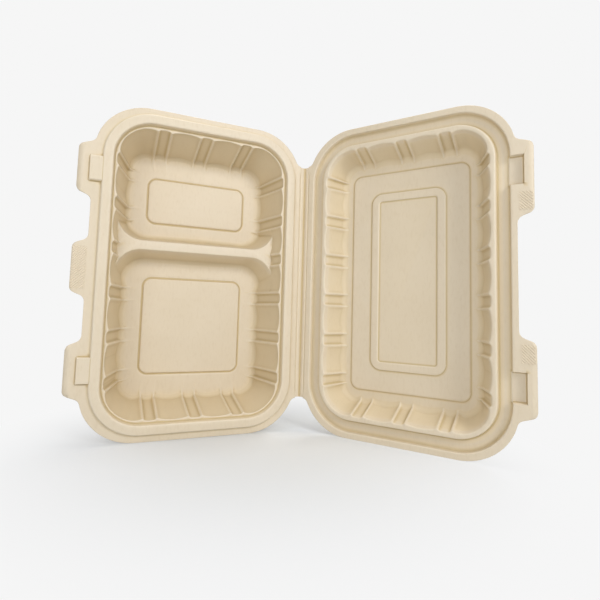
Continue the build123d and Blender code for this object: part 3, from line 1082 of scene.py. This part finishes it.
class TRAY_OT_knurl(bpy.types.Operator):
    """Raise the diagonal grip bars on the thumb tabs of base and lid"""
    bl_idname = "tray.knurl"
    bl_label = "Knurl"

    def execute(self, context):
        sizes = drawn_sizes(context.scene)
        for body, boxes in KNURL_PATCHES.items():
            whole = bmesh.new()
            for box in boxes:
                bm = bmesh.new()
                knurl_patch(bm, box, sizes.knurl_pitch)
                patch = bpy.data.meshes.new("patch")
                bm.to_mesh(patch)
                bm.free()
                whole.from_mesh(patch)
                bpy.data.meshes.remove(patch)
            place = half_matrix(body == "lid") @ Matrix.Diagonal((MM, MM, MM, 1.0))
            bmesh.ops.transform(whole, matrix=place, verts=whole.verts[:])
            bmesh.ops.recalc_face_normals(whole, faces=whole.faces[:])
            piece = make_piece(whole, body + "_knurl", smooth=False)
            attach(piece, body)
        return {"FINISHED"}


# Stage: the paper's shadow fades into the backdrop over these distances from a middle, in metres
FLOOR_SIZE = 4.0
SHADOW_MIDDLE = (0.0, 0.03, 0.0)
SHADOW_NEAR = 0.03
SHADOW_FAR = 0.21

# Light: the sky's strength, and each lamp's name, place, size and power, all aimed at one spot
SKY = 0.37
LAMP_AIM = Vector((0.0, 0.0, 0.12))
LAMPS = [
    ("top", (0.0, 0.03, 1.1), 0.4, 3.4),
    ("front", (0.24, -0.9, 0.55), 0.3, 4.0),
    ("near", (-0.5, -0.65, 0.34), 0.4, 1.8),
    ("back", (0.85, 0.65, 0.6), 0.6, 5.0),
]

# Camera: focal length and middle in pixels, turn in degrees, shift from the hinge in millimetres
FRAME_PIXELS = 600
SENSOR = 36.0
CAMERA_FIT = {
    "focal": 434.568,
    "turn": (5.106, -22.886, -3.605),
    "shift": (4.807, -3.555, 366.532),
    "middle": (-3.66, -24.162),
}


def straight_rays(tree):
    """1 for rays from the camera, also by way of a mirror or glass, so that these see the plain backdrop."""
    rays = node(tree, "ShaderNodeLightPath").outputs
    mirrored_too = node(tree, "ShaderNodeMath", {"operation": "MAXIMUM"},
                        links={0: rays["Is Camera Ray"], 1: rays["Is Glossy Ray"]})
    every = node(tree, "ShaderNodeMath", {"operation": "MAXIMUM"},
                 links={0: mirrored_too.outputs["Value"], 1: rays["Is Transmission Ray"]})
    return every.outputs["Value"]


def studio_paper(pale, paper):
    """Pale seamless paper: shows a soft shadow near the tray and fades into the plain backdrop."""
    material = bpy.data.materials.new("studio_paper")
    material.use_nodes = True
    tree = material.node_tree
    tree.nodes.remove(tree.nodes["Principled BSDF"])
    lit = node(tree, "ShaderNodeBsdfDiffuse", values={"Color": paper})
    flat = node(tree, "ShaderNodeEmission", values={"Color": pale, "Strength": 1.0})
    place = node(tree, "ShaderNodeTexCoord").outputs["Object"]
    away = node(tree, "ShaderNodeVectorMath", {"operation": "DISTANCE"}, {1: SHADOW_MIDDLE}, {0: place})
    fade = node(tree, "ShaderNodeMapRange", {"interpolation_type": "SMOOTHSTEP"},
                {"From Min": SHADOW_NEAR, "From Max": SHADOW_FAR, "To Min": 0.0, "To Max": 1.0},
                {"Value": away.outputs["Value"]})
    share = node(tree, "ShaderNodeMath", {"operation": "MULTIPLY"},
                 links={0: fade.outputs["Result"], 1: straight_rays(tree)})
    mix = node(tree, "ShaderNodeMixShader", links={
        0: share.outputs["Value"], 1: lit.outputs["BSDF"], 2: flat.outputs["Emission"]})
    tree.links.new(mix.outputs["Shader"], tree.nodes["Material Output"].inputs["Surface"])
    return material


def lay_floor(scene, pale):
    """Lays the studio floor."""
    bm = bmesh.new()
    bmesh.ops.create_grid(bm, x_segments=1, y_segments=1, size=FLOOR_SIZE)
    mesh = bpy.data.meshes.new("studio_floor")
    bm.to_mesh(mesh)
    bm.free()
    ground = bpy.data.objects.new("studio_floor", mesh)
    scene.collection.objects.link(ground)
    mesh.materials.append(studio_paper(pale, linear(scene.tray_colours.paper)))


def light_studio(scene, pale):
    """Even sky light behind a plain backdrop, and four soft lamps."""
    world = bpy.data.worlds.new("studio")
    world.use_nodes = True
    scene.world = world
    tree = world.node_tree
    sky = tree.nodes["Background"]
    sky.inputs["Color"].default_value = (1, 1, 1, 1)
    sky.inputs["Strength"].default_value = SKY
    seen = node(tree, "ShaderNodeBackground", values={"Color": pale, "Strength": 1.0})
    mix = node(tree, "ShaderNodeMixShader", links={
        0: straight_rays(tree), 1: sky.outputs["Background"], 2: seen.outputs["Background"]})
    tree.links.new(mix.outputs["Shader"], tree.nodes["World Output"].inputs["Surface"])
    for name, place, size, power in LAMPS:
        data = bpy.data.lights.new(name, "AREA")
        data.shape = "SQUARE"
        data.size = size
        data.energy = power
        lamp = bpy.data.objects.new(name, data)
        lamp.location = place
        lamp.rotation_euler = (LAMP_AIM - Vector(place)).to_track_quat("-Z", "Y").to_euler()
        scene.collection.objects.link(lamp)


def set_camera(scene):
    """Camera at the photograph's viewing angle, from the fit, whose axes are right, up and ahead."""
    data = bpy.data.cameras.new("camera")
    data.sensor_width = SENSOR
    data.lens = CAMERA_FIT["focal"] / FRAME_PIXELS * SENSOR
    data.shift_x = -CAMERA_FIT["middle"][0] / FRAME_PIXELS
    data.shift_y = CAMERA_FIT["middle"][1] / FRAME_PIXELS
    data.clip_start = 0.01
    camera = bpy.data.objects.new("camera", data)
    rx, ry, rz = (radians(value) for value in CAMERA_FIT["turn"])
    turn = Matrix.Rotation(rz, 3, "Z") @ Matrix.Rotation(ry, 3, "Y") @ Matrix.Rotation(rx, 3, "X")
    place = -(turn.transposed() @ Vector(CAMERA_FIT["shift"]))
    right, up, ahead = (turn[index].xzy for index in range(3))
    axes = Matrix((right, up, -ahead)).transposed().to_4x4()
    camera.matrix_world = Matrix.Translation(HINGE_AT + place.xzy * MM) @ axes
    scene.collection.objects.link(camera)
    scene.camera = camera


class TRAY_OT_stage(bpy.types.Operator):
    """Set the pale floor, the soft light and the camera"""
    bl_idname = "tray.stage"
    bl_label = "Stage"

    def execute(self, context):
        scene = context.scene
        scene.view_settings.view_transform = "Standard"
        pale = linear(scene.tray_colours.floor)
        lay_floor(scene, pale)
        light_studio(scene, pale)
        set_camera(scene)
        return {"FINISHED"}


class TRAY_PT_panel(bpy.types.Panel):
    """Sizes, colours and the steps that make the tray"""
    bl_idname = "TRAY_PT_panel"
    bl_label = "Meal tray"
    bl_space_type = "VIEW_3D"
    bl_region_type = "UI"
    bl_category = "Meal tray"

    def draw(self, context):
        layout = self.layout
        for name in TraySizes.__annotations__:
            layout.prop(context.scene.tray_sizes, name)
        for name in TrayColours.__annotations__:
            layout.prop(context.scene.tray_colours, name)
        for step in STEPS:
            layout.operator(step.bl_idname)


STEPS = (TRAY_OT_base, TRAY_OT_lid, TRAY_OT_hinge, TRAY_OT_knurl, TRAY_OT_stage)
CLASSES = (TraySizes, TrayColours, *STEPS, TRAY_PT_panel)


def register():
    for cls in CLASSES:
        bpy.utils.register_class(cls)
    bpy.types.Scene.tray_sizes = bpy.props.PointerProperty(type=TraySizes)
    bpy.types.Scene.tray_colours = bpy.props.PointerProperty(type=TrayColours)


def unregister():
    del bpy.types.Scene.tray_colours
    del bpy.types.Scene.tray_sizes
    for cls in reversed(CLASSES):
        bpy.utils.unregister_class(cls)


def main():
    register()
    bpy.ops.tray.base()
    bpy.ops.tray.lid()
    bpy.ops.tray.hinge()
    bpy.ops.tray.knurl()
    bpy.ops.tray.stage()


if __name__ == "__main__":
    main()
